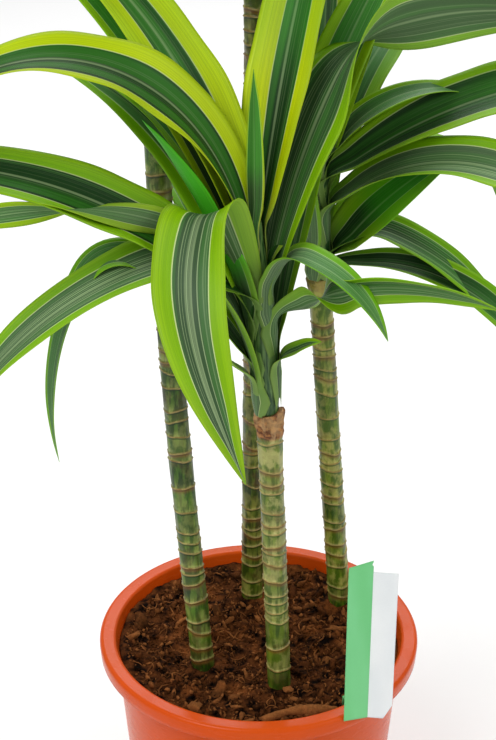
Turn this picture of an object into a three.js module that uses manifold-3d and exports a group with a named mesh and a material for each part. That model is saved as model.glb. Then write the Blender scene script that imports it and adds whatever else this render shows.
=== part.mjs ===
// A potted corn plant: a moulded plastic pot filled with soil, four bare ringed canes of different
// heights standing in it, a head of arching striped leaves on each cane, and a bare folded tag
// hooked over the rim. Millimetres, +Z up, origin at the middle of the pot's underside.
import * as THREE from 'three';
import { mergeVertices } from 'three/addons/utils/BufferGeometryUtils.js';
import Module from 'manifold-3d';

const wasm = await Module();
wasm.setup();

// ---- driving dimensions -------------------------------------------------------------------

const gap = 0.3; // clearance between neighbouring pieces
const degree = Math.PI / 180;

const pot = {
  height: 195,
  rimRadius: 120,
  rimInnerRadius: 107.5,
  shoulderRadius: 108.5, // outside of the wall, just under the lip
  baseRadius: 93,
  wall: 2,
  floor: 2.5,
  skirt: 12, // how far the lip hangs down outside
  edge: 3,
  sides: 36,
  drains: 6,
  drainRadius: 5,
  drainCircle: 62,
};

const soil = { top: 183, lump: 2.2, rings: 6, sectors: pot.sides };

const cane = {
  radius: 8.7,
  sides: 8,
  depth: 60, // how far a cane stands in the soil
  ringStep: 19,
  ringStray: 0.2, // how far a step may be longer or shorter, as a share
  ringHeight: 2.2,
  ringProud: 0.8,
  ringDip: 0.3,
  ringTilt: [0.5, 1.3],
  cutEdge: 2, // the chamfer of the cut end
};

const blade = {
  steps: 30, // steps along the midrib
  stride: 5, // steps from one section to the next
  edge: 0.8,
  middle: 1.5,
  rootDepth: 3.2, // how deep the root is sunk in the shoot
  root: 0.3, // width at the root, as a share of the full width
  belly: 0.45, // where the full width is reached
  gutter: 0.35, // how far the edges lift at the root
  gutterEnd: 0.55,
  hollow: 0.22, // how far they still lift past the gutter
  kneeSpan: 0.09, // half the stretch that a knee takes
  tipStart: 3, // the higher, the nearer to the tip the blade starts to narrow
  tipBlunt: 0.9,
  tipWidth: 1.6,
};

const shoot = { radii: [[0, 10], [0.6, 8.5], [1.12, 5]], sides: 8 }; // [share of height, radius]

const tag = {
  corner: [58.9, -105.3], // its near corner, outside the lip
  bottom: 192,
  turn: 15, // direction of the first panel, in degrees from +X
  fold: -22,
  panels: [{ width: 17.5, height: 130 }, { width: 17, height: 121 }],
  thickness: 0.6,
  tongueWidth: 10,
  tongueFrom: 6.5,
  tongueDrop: 10,
  tongueClear: 8.5, // from the wall's inner face to the tongue's inner face
};

// Each cane is a line from its foot to its top, with a slight bow and a swollen cut end, and
// carries one shoot.
const canes = {
  a: { foot: [-41, -30], top: [-70, -2, 745], shootTip: [-73, 0, 850], bow: [-7, 4], knob: 0.8, seed: 1 },
  b: { foot: [-5, 60], top: [-4, 60, 900], shootTip: [-2, 60, 1010], bow: [2, 0], knob: 0.8, seed: 2 },
  c: { foot: [15, -54], top: [6, -54, 409], shootTip: [-3, -52, 530], bow: [0, 0], knob: 3, seed: 3 },
  d: { foot: [64, 54], top: [43, 54, 462], shootTip: [36, 52, 560], bow: [0, 0], knob: 0.8, seed: 4 },
};

// ---- leaves, chosen by hand ---------------------------------------------------------------
// up: height on the shoot, 0 to 1. heading: heading in degrees, 0 is +X and 90 is +Y. rise: slope at
// the root. droop: how much slope is lost towards the tip, late: how late it is lost. knee: a
// sharp fold down at kneeAt, over twice kneeSpan. sway: change of heading. roll and twist: turn
// about the midrib.

const leavesC = {
  frontFall: {
    up: 0.7, heading: 200.7, length: 257, width: 52.1, rise: 65.5, droop: 35, late: 1, sway: 138,
    knee: 97, kneeAt: 0.316, kneeSpan: 0.05, roll: 14.6,
  },
  leftArch: {
    up: 0.91, heading: 198, length: 335, width: 50, rise: 78, droop: 158, late: 1.5, roll: -40,
    twist: 30, twistFrom: 0.35, twistTo: 0.75,
  },
  leftReach: { up: 0.65, heading: 195, length: 290, width: 46, rise: 46, droop: 54, roll: -40 },
  leftTwist: {
    up: 0.8, heading: 200, length: 280, width: 20, rise: 62, droop: 84, late: 0.6, roll: 60,
    twist: 300,
  },
  leftSickle: {
    up: 0.1, heading: 195, length: 330, width: 44, rise: 84, droop: 90, late: 1, knee: 60,
    kneeAt: 0.35, roll: -20,
  },
  leftThread: {
    up: 0.215, heading: 186, length: 296, width: 28, rise: 66, droop: 84, late: 1, knee: 82,
    kneeAt: 0.46, roll: -24,
  },
  limeUp: { up: 0.9, heading: 168, length: 300, width: 50, rise: 77, droop: 58, roll: -36 },
  backLeft: { up: 0.83, heading: 164, length: 320, width: 36, rise: 70, droop: 46, roll: -36 },
  thinLeft: { up: 0.7, heading: 160, length: 240, width: 26, rise: 74, droop: 80, roll: -20, late: 1.5 },
  paleLeft: { up: 0.3, heading: 190, length: 186, width: 28, rise: 80, droop: 30, roll: 30 },
  centreUp: { up: 1, heading: 60, length: 300, width: 48, rise: 76, droop: 30 },
  rightBlade: {
    up: 0.68, heading: 27, length: 350, width: 52, rise: 80, droop: 55, late: 1.2, knee: 45,
    kneeAt: 0.5, twist: -139, twistFrom: 0.34, twistTo: 0.72, roll: 24,
  },
  greyUp: { up: 0.8, heading: 42, length: 300, width: 38, rise: 68, droop: 30, roll: 30 },
  spike: { up: 1, heading: 255, length: 114, width: 13, rise: 89, droop: 2 },
  rightHook: {
    up: 0.62, heading: 335, length: 130, width: 34, rise: 86, droop: 92, late: 1, knee: 60,
    kneeAt: 0.34,
  },
  rightWaist: {
    up: 0.5, heading: 345, length: 160, width: 30, rise: 62, droop: 80, late: 0.6, roll: -60,
    twist: 180, twistFrom: 0.2, twistTo: 0.42,
  },
  lowLeft: { up: 0.15, heading: 203, length: 50, width: 13, rise: 50, droop: 0 },
  lowRight: { up: 0.25, heading: 330, length: 48, width: 16, rise: 62, droop: 48, roll: 30 },
  backTall: { up: 0.53, heading: 160, length: 230, width: 44, rise: 78, droop: 70, roll: -36 },
  backFall: { up: 0.2, heading: 125, length: 190, width: 46, rise: 66, droop: 60 },
  backRight: { up: 0.3, heading: 62, length: 260, width: 36, rise: 76, droop: 40 },
};

const leavesD = {
  lowFall: {
    up: 0.12, heading: 350, length: 200, width: 34, rise: 52, droop: 66, late: 1, knee: 54,
    kneeAt: 0.2, roll: 20,
  },
  lowArch: { up: 0.06, heading: 345, length: 270, width: 32, rise: 28, droop: 120, late: 0.8, roll: 20 },
  wide: { up: 0.45, heading: 340, length: 320, width: 46, rise: 56, droop: 154, late: 1, roll: 22 },
  wideShort: { up: 0.1, heading: 350, length: 128, width: 44, rise: 57, droop: 30, roll: 42 },
  highRight: { up: 0.7, heading: 0, length: 320, width: 50, rise: 41, droop: 56, late: 1, roll: 30 },
  curlTip: { up: 0.75, heading: 8, length: 145, width: 24, rise: 72, droop: 100, late: 1.1, roll: 20 },
  narrow: { up: 0.06, heading: 240, length: 105, width: 14, rise: 82, droop: 10 },
  thinUp: { up: 0.7, heading: 20, length: 250, width: 26, rise: 74, droop: -4, roll: 30 },
  back1: { up: 0.9, heading: 85, length: 300, width: 44, rise: 76, droop: 50 },
  back2: { up: 0.55, heading: 60, length: 250, width: 46, rise: 60, droop: 90 },
  back3: { up: 0.3, heading: 100, length: 300, width: 46, rise: 56, droop: 120 },
  back4: { up: 0.5, heading: 92, length: 330, width: 46, rise: 62, droop: 115 },
  back5: { up: 0.1, heading: 50, length: 280, width: 42, rise: 40, droop: 110 },
  back6: { up: 0.2, heading: 88, length: 300, width: 44, rise: 48, droop: 120 },
  back7: { up: 0.75, heading: 75, length: 320, width: 44, rise: 74, droop: 70 },
};

// The two tall heads follow one rule: from the lowest leaf to the innermost, each is a golden
// angle further round, shorter, narrower, steeper and straighter.
const crowns = {
  a: {
    count: 21, start: 10, seed: 11, turned: { 3: 12, 8: -9, 16: -47, 19: 12 },
    lifted: { 13: 5, 19: 5 },
  },
  b: { count: 23, start: 40, seed: 12, turned: { 4: -62 }, lifted: { 4: 4 } },
};
const crownLeaf = {
  lowest: 0.06,
  goldenAngle: 137.5,
  length: [330, 230],
  width: [46, 30],
  rise: [50, 84],
  droop: [125, 25],
  late: 1.4,
  jitter: { length: 0.07, rise: 4, droop: 12, roll: 15 },
};

// ---- small helpers ------------------------------------------------------------------------

const mix = (from, to, t) => from + (to - from) * t;
const clamp01 = (t) => Math.min(1, Math.max(0, t));

// An even S-curve from 0 at a to 1 at b.
function smooth(s, a, b) {
  const t = clamp01((s - a) / (b - a));
  return t * t * (3 - 2 * t);
}

// A repeatable number from 0 to 1 for each seed and index.
function draw(seed, index) {
  const wave = Math.sin(seed * 12.9898 + index * 78.233) * 43758.5453;
  return wave - Math.floor(wave);
}

function solidFromMesh(positions, triangles) {
  const vertProperties = new Float32Array(positions);
  const triVerts = new Uint32Array(triangles);
  return new wasm.Manifold(new wasm.Mesh({ numProp: 3, vertProperties, triVerts }));
}

function solidFromGeometry(geometry) {
  const bare = geometry.clone();
  bare.deleteAttribute('normal');
  bare.deleteAttribute('uv');
  const merged = mergeVertices(bare, 1e-4);
  return solidFromMesh(merged.attributes.position.array, merged.index.array);
}

function geometryFromSolid(solid) {
  const { vertProperties, triVerts } = solid.getMesh();
  const geometry = new THREE.BufferGeometry();
  geometry.setAttribute('position', new THREE.BufferAttribute(new Float32Array(vertProperties), 3));
  geometry.setIndex(new THREE.BufferAttribute(new Uint32Array(triVerts), 1));
  geometry.computeVertexNormals();
  return geometry;
}

// A closed solid through rings of equally many points, each ring counter-clockwise seen from
// the last one. Both faces of a strip are split along the same diagonals.
function loft(rings) {
  const count = rings[0].length;
  const positions = rings.flat(2);
  const triangles = [];
  for (let i = 0; i < rings.length - 1; i += 1) {
    for (let j = 0; j < count; j += 1) {
      const a = i * count + j;
      const b = i * count + ((j + 1) % count);
      const forward = j < count / 2;
      if (forward) {
        triangles.push(a, b, b + count, a, b + count, a + count);
      } else {
        triangles.push(a, b, a + count, b, b + count, a + count);
      }
    }
  }
  const last = (rings.length - 1) * count;
  for (let j = 1; j < count - 1; j += 1) {
    triangles.push(0, j + 1, j);
    triangles.push(last, last + j, last + j + 1);
  }
  return solidFromMesh(positions, triangles);
}

// ---- canes --------------------------------------------------------------------------------

// The centre of a cane at height z: the straight line from foot to top, bowed by a half sine.
function caneCentre({ foot, top, bow }, z) {
  const t = (z - soil.top) / (top[2] - soil.top);
  const bend = Math.sin(Math.PI * clamp01(t));
  return [0, 1].map((i) => mix(foot[i], top[i], t) + bow[i] * bend);
}

// One ring of points round the cane, tilted towards a heading.
function caneRing(spec, z, radius, tilt, heading) {
  const [x, y] = caneCentre(spec, z);
  return Array.from({ length: cane.sides }, (_, j) => {
    const angle = (j / cane.sides) * 2 * Math.PI;
    return [
      x + radius * Math.cos(angle),
      y + radius * Math.sin(angle),
      z + tilt * Math.cos(angle - heading),
    ];
  });
}

// A cane is smooth in the soil. Above it each old leaf scar stands out as a low, tilted ring
// whose upper edge is sharp.
function caneSolid(spec) {
  const rings = [
    caneRing(spec, soil.top - cane.depth, cane.radius, 0, 0),
    caneRing(spec, soil.top + 2 * soil.lump, cane.radius, 0, 0),
  ];
  const topHeight = spec.top[2];
  let z = soil.top + cane.ringStep;
  for (let k = 0; z < topHeight - cane.ringStep / 2; k += 1) {
    const [stray, turn, lean] = [0, 1, 2].map((slot) => draw(spec.seed, 3 * k + slot));
    const heading = 2 * Math.PI * turn;
    const tilt = mix(...cane.ringTilt, lean);
    rings.push(caneRing(spec, z, cane.radius - cane.ringDip, tilt, heading));
    rings.push(caneRing(spec, z + cane.ringHeight, cane.radius + cane.ringProud, tilt, heading));
    z += cane.ringStep * (1 + cane.ringStray * (2 * stray - 1));
  }
  rings.push(caneRing(spec, topHeight - cane.cutEdge, cane.radius + spec.knob, 0, 0));
  rings.push(caneRing(spec, topHeight, cane.radius + spec.knob - cane.cutEdge / 2, 0, 0));
  return loft(rings);
}

// ---- heads of leaves ----------------------------------------------------------------------

const along = (from, to, t) => from.map((value, i) => mix(value, to[i], t));
const addScaled = (point, vector, scale) => point.map((value, i) => value + vector[i] * scale);

// The blade's half width along its length: narrow at the root, full from the belly on, and
// drawn in to the tip.
function halfWidth(leaf, s) {
  const swell = mix(blade.root, 1, Math.sin((Math.PI / 2) * Math.min(1, s / blade.belly)));
  const point = (1 - s ** blade.tipStart) ** blade.tipBlunt;
  return Math.max((leaf.width / 2) * swell * point, blade.tipWidth / 2);
}

// The slope and heading of the midrib at s, from 0 at the root to 1 at the tip.
function leafSlope(leaf, s) {
  const { rise, droop, late = 1.4, knee = 0, kneeAt = 0.5, kneeSpan = blade.kneeSpan } = leaf;
  const fold = knee * smooth(s, kneeAt - kneeSpan, kneeAt + kneeSpan);
  return (rise - droop * s ** late - fold) * degree;
}

function leafHeading(leaf, s) {
  const { heading, sway = 0, swayLate = 1 } = leaf;
  return (heading + sway * s ** swayLate) * degree;
}

// The shoot's radius at a share of its height.
function shootRadius(t) {
  const [low, waist, high] = shoot.radii;
  const [from, to] = t < waist[0] ? [low, waist] : [waist, high];
  return mix(from[1], to[1], (t - from[0]) / (to[0] - from[0]));
}

// A leaf is a strip of sections along its midrib. The midrib is summed from short steps that
// follow slope and heading. The blade's edges lift into a gutter that flattens out past the
// root, and the whole section turns about the midrib by roll and twist.
function leafSolid(spec, leaf) {
  const { roll = 0, twist = 0, twistFrom = 0.1, twistTo = 0.9 } = leaf;
  const start = along(spec.top, spec.shootTip, leaf.up);
  const heading0 = leafHeading(leaf, 0);
  const outward = [Math.cos(heading0), Math.sin(heading0), 0];
  let point = addScaled(start, outward, shootRadius(leaf.up) - blade.rootDepth);
  const rings = [];
  for (let i = 0; i <= blade.steps; i += 1) {
    const s = i / blade.steps;
    const slope = leafSlope(leaf, s);
    const heading = leafHeading(leaf, s);
    if (i % blade.stride === 0) {
      const side = [-Math.sin(heading), Math.cos(heading), 0];
      const face = [
        -Math.sin(slope) * Math.cos(heading),
        -Math.sin(slope) * Math.sin(heading),
        Math.cos(slope),
      ];
      const turn = (roll + twist * smooth(s, twistFrom, twistTo)) * degree;
      const across = side.map((value, n) => value * Math.cos(turn) + face[n] * Math.sin(turn));
      const out = side.map((value, n) => -value * Math.sin(turn) + face[n] * Math.cos(turn));
      const half = halfWidth(leaf, s);
      const lift = half * (blade.gutter * (1 - smooth(s, 0, blade.gutterEnd)) + blade.hollow);
      const left = addScaled(addScaled(point, across, -half), out, lift);
      const right = addScaled(addScaled(point, across, half), out, lift);
      rings.push([
        right,
        point,
        left,
        addScaled(left, out, -blade.edge),
        addScaled(point, out, -mix(blade.middle, blade.edge, s)),
        addScaled(right, out, -blade.edge),
      ]);
    }
    const middle = (i + 0.5) / blade.steps;
    const rise = leafSlope(leaf, middle);
    const course = leafHeading(leaf, middle);
    const stride = leaf.length / blade.steps;
    const step = [Math.cos(rise) * Math.cos(course), Math.cos(rise) * Math.sin(course), Math.sin(rise)];
    point = addScaled(point, step, stride);
  }
  return loft(rings);
}

function crownLeaves({ count, start, seed, turned, lifted }) {
  const { jitter } = crownLeaf;
  return Array.from({ length: count }, (_, k) => {
    const f = k / (count - 1);
    const stray = (slot) => 2 * draw(seed, 10 * k + slot) - 1;
    return {
      up: mix(crownLeaf.lowest, 1, f),
      heading: start + crownLeaf.goldenAngle * k + (turned[k] ?? 0),
      length: mix(...crownLeaf.length, f) * (1 + jitter.length * stray(0)),
      width: mix(...crownLeaf.width, f),
      rise: mix(...crownLeaf.rise, f) + jitter.rise * stray(1) + (lifted[k] ?? 0),
      droop: mix(...crownLeaf.droop, f) + jitter.droop * stray(2),
      late: crownLeaf.late,
      roll: jitter.roll * stray(3),
    };
  });
}

function shootSolid({ top, shootTip }) {
  const foot = [top[0], top[1], top[2] + gap];
  const ringAt = ([t, radius]) => {
    const [x, y, z] = along(foot, shootTip, t);
    return Array.from({ length: shoot.sides }, (_, j) => {
      const angle = (j / shoot.sides) * 2 * Math.PI;
      return [x + radius * Math.cos(angle), y + radius * Math.sin(angle), z];
    });
  };
  return loft(shoot.radii.map(ringAt));
}

// The largest shell alone: a hollow that the leaves seal off is filled, and a scrap is dropped.
function outerShell(solid) {
  return solid.decompose().reduce((best, one) => (one.volume() > best.volume() ? one : best));
}

function headSolid(spec, leaves) {
  const blades = leaves.map((leaf) => leafSolid(spec, leaf));
  return outerShell(blades.reduce((whole, one) => whole.add(one), shootSolid(spec)));
}

// ---- pot and soil -------------------------------------------------------------------------

const innerRadius = (z) => mix(pot.baseRadius, pot.shoulderRadius, z / pot.height) - pot.wall;
const outerRadius = (z) => mix(pot.baseRadius, pot.shoulderRadius, z / pot.height);

// A tapering thin wall with a flat floor. The lip rolls outwards and hangs down as a skirt,
// hollow underneath, and holes in the floor let water out.
function potSolid() {
  const { height, rimRadius, rimInnerRadius, baseRadius, floor, skirt, edge, wall } = pot;
  const underLip = height - edge - 0.6;
  const skirtFoot = height - skirt;
  const outline = [
    [0, 0],
    [baseRadius - edge, 0],
    [baseRadius, edge],
    [outerRadius(underLip), underLip],
    [rimRadius - wall - 1, underLip],
    [rimRadius - wall, skirtFoot],
    [rimRadius - 0.6, skirtFoot],
    [rimRadius, height - edge - 1.5],
    [rimRadius - 0.8, height - 1.2],
    [rimRadius - edge, height],
    [rimInnerRadius + edge, height],
    [rimInnerRadius + 0.8, height - 1.2],
    [innerRadius(height - 2 * edge), height - 2 * edge],
    [innerRadius(floor), floor],
    [0, floor],
  ].map(([r, z]) => new THREE.Vector2(r, z));
  const wallGeometry = new THREE.LatheGeometry(outline, pot.sides);
  wallGeometry.rotateX(Math.PI / 2);
  let solid = solidFromGeometry(wallGeometry);
  for (let k = 0; k < pot.drains; k += 1) {
    const angle = ((k + 0.5) / pot.drains) * 2 * Math.PI;
    const drain = new THREE.CylinderGeometry(pot.drainRadius, pot.drainRadius, 4 * floor, 10);
    drain.rotateX(Math.PI / 2);
    drain.translate(pot.drainCircle * Math.cos(angle), pot.drainCircle * Math.sin(angle), 0);
    solid = solid.subtract(solidFromGeometry(drain));
  }
  return solid;
}

// The soil's surface: three crossing waves, fading out towards the wall.
function soilHeight(x, y) {
  const waves = Math.sin(x / 9 + 1.3) * Math.cos(y / 11) + 0.6 * Math.sin((x + y) / 6.1) +
    0.4 * Math.cos((x - 2 * y) / 7.3);
  const fade = 1 - smooth(Math.hypot(x, y) / pot.baseRadius, 0.8, 1.12);
  return soil.top + soil.lump * 0.5 * waves * (0.3 + 0.7 * fade);
}

function soilSolid() {
  const edgeRadius = innerRadius(soil.top - 2) - gap;
  const ringAt = (radius, height) => Array.from({ length: soil.sectors }, (_, j) => {
    const angle = (j / soil.sectors) * 2 * Math.PI;
    const x = radius * Math.cos(angle);
    const y = radius * Math.sin(angle);
    return [x, y, height ?? soilHeight(x, y)];
  });
  const bottom = pot.floor + gap;
  const rings = [ringAt(innerRadius(bottom) - gap, bottom)];
  for (let i = 0; i < soil.rings; i += 1) {
    rings.push(ringAt(edgeRadius * (1 - i / soil.rings)));
  }
  const clear = cane.radius + 2 * gap;
  const holes = Object.values(canes).map((spec) => loft([
    caneRing(spec, soil.top - cane.depth - gap, clear, 0, 0),
    caneRing(spec, soil.top + 5 * soil.lump, clear, 0, 0),
  ]));
  return holes.reduce((whole, hole) => whole.subtract(hole), loft(rings));
}

// ---- tag ----------------------------------------------------------------------------------

// A flat plate from an outline of [along, up] points, standing on a line that leaves a corner
// at a heading. Its thickness lies on the side that faces away from the pot.
function plate(outline, [x, y], heading) {
  const shape = new THREE.Shape(outline.map(([u, v]) => new THREE.Vector2(u, v)));
  const geometry = new THREE.ExtrudeGeometry(shape, { depth: tag.thickness, bevelEnabled: false });
  geometry.rotateX(Math.PI / 2);
  geometry.rotateZ(heading * degree);
  geometry.translate(x, y, 0);
  return solidFromGeometry(geometry);
}

// Two bare panels with a soft fold between them. A tongue from the first one reaches over the
// lip and down behind it.
function tagSolid() {
  const [near, far] = tag.panels;
  const { bottom, thickness, turn, fold } = tag;
  const seam = [
    tag.corner[0] + near.width * Math.cos(turn * degree),
    tag.corner[1] + near.width * Math.sin(turn * degree),
  ];
  const nearOutline = [
    [0, bottom],
    [near.width, bottom],
    [near.width, bottom + near.height - 8],
    [near.width - 3, bottom + near.height - 5],
    [near.width, bottom + near.height],
    [0, bottom + near.height - 3],
  ];
  const farOutline = [
    [0, bottom],
    [far.width - 6, bottom],
    [far.width, bottom + 12],
    [far.width, bottom + far.height],
    [0, bottom + far.height],
  ];
  const overLip = pot.rimRadius - innerRadius(pot.height - tag.tongueDrop) + tag.tongueClear;
  const across = new THREE.BoxGeometry(tag.tongueWidth, overLip + thickness, thickness);
  const behind = new THREE.BoxGeometry(tag.tongueWidth, thickness, tag.tongueDrop);
  const middle = tag.tongueFrom + tag.tongueWidth / 2;
  const rest = pot.height + gap + thickness / 2;
  across.translate(middle, (overLip - thickness) / 2, rest);
  behind.translate(middle, overLip - thickness / 2, rest + thickness / 2 - tag.tongueDrop / 2);
  const tongue = [across, behind].map((geometry) => {
    geometry.rotateZ(turn * degree);
    geometry.translate(tag.corner[0], tag.corner[1], 0);
    return solidFromGeometry(geometry);
  });
  return plate(nearOutline, tag.corner, turn)
    .add(plate(farOutline, seam, turn + fold))
    .add(tongue[0])
    .add(tongue[1]);
}

// ---- the object ---------------------------------------------------------------------------

const finish = {
  plastic: { color: '#dd5f2c', roughness: 0.3, metalness: 0 },
  soil: { color: '#3d2a20', roughness: 0.95, metalness: 0 },
  cane: { color: '#6f7a45', roughness: 0.6, metalness: 0 },
  leaf: { color: '#6f9c2b', roughness: 0.4, metalness: 0 },
  tag: { color: '#9fdcab', roughness: 0.45, metalness: 0 },
};

const group = new THREE.Group();

function place(name, solid, look) {
  const mesh = new THREE.Mesh(geometryFromSolid(solid), new THREE.MeshStandardMaterial(look));
  mesh.name = name;
  group.add(mesh);
}

const leaves = {
  a: crownLeaves(crowns.a),
  b: crownLeaves(crowns.b),
  c: Object.values(leavesC),
  d: Object.values(leavesD),
};

place('pot', potSolid(), finish.plastic);
place('soil', soilSolid(), finish.soil);
for (const [key, spec] of Object.entries(canes)) {
  place(`cane_${key}`, caneSolid(spec), finish.cane);
  place(`head_${key}`, headSolid(spec, leaves[key]), finish.leaf);
}
place('tag', tagSolid(), finish.tag);

export default group;
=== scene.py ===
import math

import bmesh
import bpy
import numpy as np
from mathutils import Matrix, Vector


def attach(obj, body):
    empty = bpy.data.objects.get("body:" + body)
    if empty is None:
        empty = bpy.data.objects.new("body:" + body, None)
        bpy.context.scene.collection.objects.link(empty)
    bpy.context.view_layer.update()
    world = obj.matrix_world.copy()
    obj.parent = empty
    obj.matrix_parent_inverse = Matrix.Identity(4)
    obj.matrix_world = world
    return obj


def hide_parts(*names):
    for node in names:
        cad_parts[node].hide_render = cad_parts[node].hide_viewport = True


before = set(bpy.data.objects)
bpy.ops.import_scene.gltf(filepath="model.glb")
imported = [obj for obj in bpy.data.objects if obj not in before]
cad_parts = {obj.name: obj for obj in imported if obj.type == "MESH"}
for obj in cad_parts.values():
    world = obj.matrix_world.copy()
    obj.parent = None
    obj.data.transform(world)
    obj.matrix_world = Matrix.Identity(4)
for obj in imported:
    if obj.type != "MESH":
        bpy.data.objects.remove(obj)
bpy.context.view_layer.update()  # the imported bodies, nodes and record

mm = 0.001
degree = math.pi / 180
fullTurn = 2 * math.pi


def mix(a, b, t):
    return a + (b - a) * t


# An even S-curve from 0 at a to 1 at b.
def smooth(s, a, b):
    t = np.clip((s - a) / (b - a), 0, 1)
    return t * t * (3 - 2 * t)


# The solids' own repeatable number from 0 to 1: the fraction of a large sine of seed and index.
def draw(seed, index):
    wave = math.sin(seed * 12.9898 + index * 78.233) * 43758.5453
    return wave - math.floor(wave)


# A bell of height 1 round 0 that has fallen to 1/e at one width.
def bell(distance, width):
    return np.exp(-((distance / width) ** 2))


def unit(vectors):
    return vectors / np.linalg.norm(vectors, axis=1, keepdims=True)


# A soft random field: many plane waves of about one length, in random directions and phases.
def waveField(points, length, seed, waves=20):
    random = np.random.default_rng(seed)
    turn = unit(random.normal(size=(waves, 3)))
    rate = fullTurn / length * random.uniform(0.6, 1.6, (waves, 1))
    phase = random.uniform(0, fullTurn, waves)
    return np.sin(points @ (turn * rate).T + phase).sum(-1) / math.sqrt(waves / 2)


# Unit vectors at a heading and a slope above the horizon.
def direction(heading, slope):
    flat = np.cos(slope)
    return np.stack([flat * np.cos(heading), flat * np.sin(heading), np.sin(slope)], -1)


def turns(count):
    return np.arange(count) / count * fullTurn


def places(x, y, z):
    return np.stack(np.broadcast_arrays(x, y, z), -1)


# Level circles, or points of them at some angles, round places at x, y and z.
def circle(x, y, z, radius, angle):
    return places(x + radius * np.cos(angle), y + radius * np.sin(angle), z)


# Rings of points as one closed shape: quads between neighbouring rings, and one face over each end.
# Each ring runs counter-clockwise seen from the last one.
def strip(rings):
    rows, columns = rings.shape[:2]
    i = np.arange(rows - 1)[:, None] * columns
    j = np.arange(columns)[None, :]
    k = (j + 1) % columns
    quads = np.stack([i + j, i + k, i + columns + k, i + columns + j], -1).reshape(-1, 4)
    last = (rows - 1) * columns
    ends = [list(range(columns))[::-1], list(range(last, last + columns))]
    return rings.reshape(-1, 3), quads.tolist() + ends


# Several closed shapes as one: points in a row, and faces counted on.
def gather(shapes):
    points, faces, start = [], [], 0
    for some, corners in shapes:
        points.append(some)
        faces.extend([[c + start for c in face] for face in corners])
        start += len(some)
    return np.concatenate(points), faces


def newMesh(name, points, faces):
    mesh = bpy.data.meshes.new(name)
    mesh.from_pydata((points * mm).tolist(), [], faces, shade_flat=False)
    return mesh


def addObject(name, data):
    thing = bpy.data.objects.new(name, data)
    bpy.context.scene.collection.objects.link(thing)
    return thing


# A mesh piece in the solids' own frame, from points in millimetres. Facts are numbers at its points
# that a material reads, and looks says which material each face has.
def addPiece(name, shape, materials, replaced=(), uv=None, facts=None, looks=None):
    mesh = newMesh(name, *shape)
    if uv is not None:
        corners = np.empty(len(mesh.loops), np.int32)
        mesh.loops.foreach_get("vertex_index", corners)
        layer = mesh.uv_layers.new(name="surface")
        layer.data.foreach_set("uv", uv[corners].astype(np.float32).ravel())
    for key, values in (facts or {}).items():
        mesh.attributes.new(key, "FLOAT", "POINT").data.foreach_set("value", values.astype(np.float32))
    for material in materials:
        mesh.materials.append(material)
    if looks is not None:
        mesh.polygons.foreach_set("material_index", np.asarray(looks, np.int32))
    mesh.update()
    piece = addObject(name, mesh)
    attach(piece, "root")
    if replaced:
        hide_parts(*replaced)
    return piece


def isSocket(value):
    return isinstance(value, bpy.types.NodeSocket)


# A node with its settings and inputs, in the tree of the sockets among its inputs. Those are linked.
def addNode(kind, inputs, **settings):
    tree = next(value.id_data for value in inputs.values() if isSocket(value))
    node = tree.nodes.new("ShaderNode" + kind)
    for key, value in settings.items():
        setattr(node, key, value)
    for key, value in inputs.items():
        if isSocket(value):
            tree.links.new(value, node.inputs[key])
        else:
            node.inputs[key].default_value = value
    return node


def maths(operation, a, b=0.0, c=0.0):
    return addNode("Math", {0: a, 1: b, 2: c}, operation=operation).outputs[0]


def times(a, b):
    return maths("MULTIPLY", a, b)


def timesPlus(a, b, c):
    return maths("MULTIPLY_ADD", a, b, c)


def minus(a, b):
    return maths("SUBTRACT", a, b)


# A value carried from one range to another along an S-curve, and held at the ends.
def ramp(value, low, high, toLow=0.0, toHigh=1.0):
    inputs = {"Value": value, "From Min": low, "From Max": high, "To Min": toLow, "To Max": toHigh}
    return addNode("MapRange", inputs, interpolation_type="SMOOTHSTEP").outputs[0]


def blend(factor, a, b, kind="MIX"):
    first, second = (v if isSocket(v) else (*v, 1.0) for v in (a, b))
    inputs = {0: factor, 6: first, 7: second}
    return addNode("Mix", inputs, data_type="RGBA", blend_type=kind).outputs[2]


def combined(x, y, z):
    return addNode("CombineXYZ", {"X": x, "Y": y, "Z": z}).outputs[0]


# A colour made lighter and darker by a tone round 1.
def toned(colour, tone):
    return blend(1.0, colour, combined(tone, tone, tone), "MULTIPLY")


# A group with named vectors and numbers going in and numbers coming out, and its inner ends.
def newGroup(name, vectors, numbers, results):
    tree = bpy.data.node_groups.new(name, "ShaderNodeTree")
    ends = ((vectors, "INPUT", "Vector"), (numbers, "INPUT", "Float"), (results, "OUTPUT", "Float"))
    for labels, end, kind in ends:
        for label in labels.split():
            tree.interface.new_socket(label, in_out=end, socket_type="NodeSocket" + kind)
    return tree, tree.nodes.new("NodeGroupInput").outputs, tree.nodes.new("NodeGroupOutput").inputs


# Streaks: noise drawn out along one direction, cut to a mask between Low and High.
def makeStreaks():
    tree, given, result = newGroup("streaks", "Place Stretch", "Seed Detail Low High", "Mask Value")
    drawn = addNode("VectorMath", {0: given["Place"], 1: given["Stretch"]}, operation="MULTIPLY")
    shift = combined(given["Seed"], given["Seed"], given["Seed"])
    moved = addNode("VectorMath", {0: drawn.outputs[0], 1: shift}, operation="ADD")
    noise = addNode("TexNoise", {
        "Vector": moved.outputs[0], "Scale": 1.0, "Detail": given["Detail"], "Roughness": 0.55,
    }).outputs[0]
    tree.links.new(ramp(noise, given["Low"], given["High"]), result["Mask"])
    tree.links.new(noise, result["Value"])
    return tree


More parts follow.
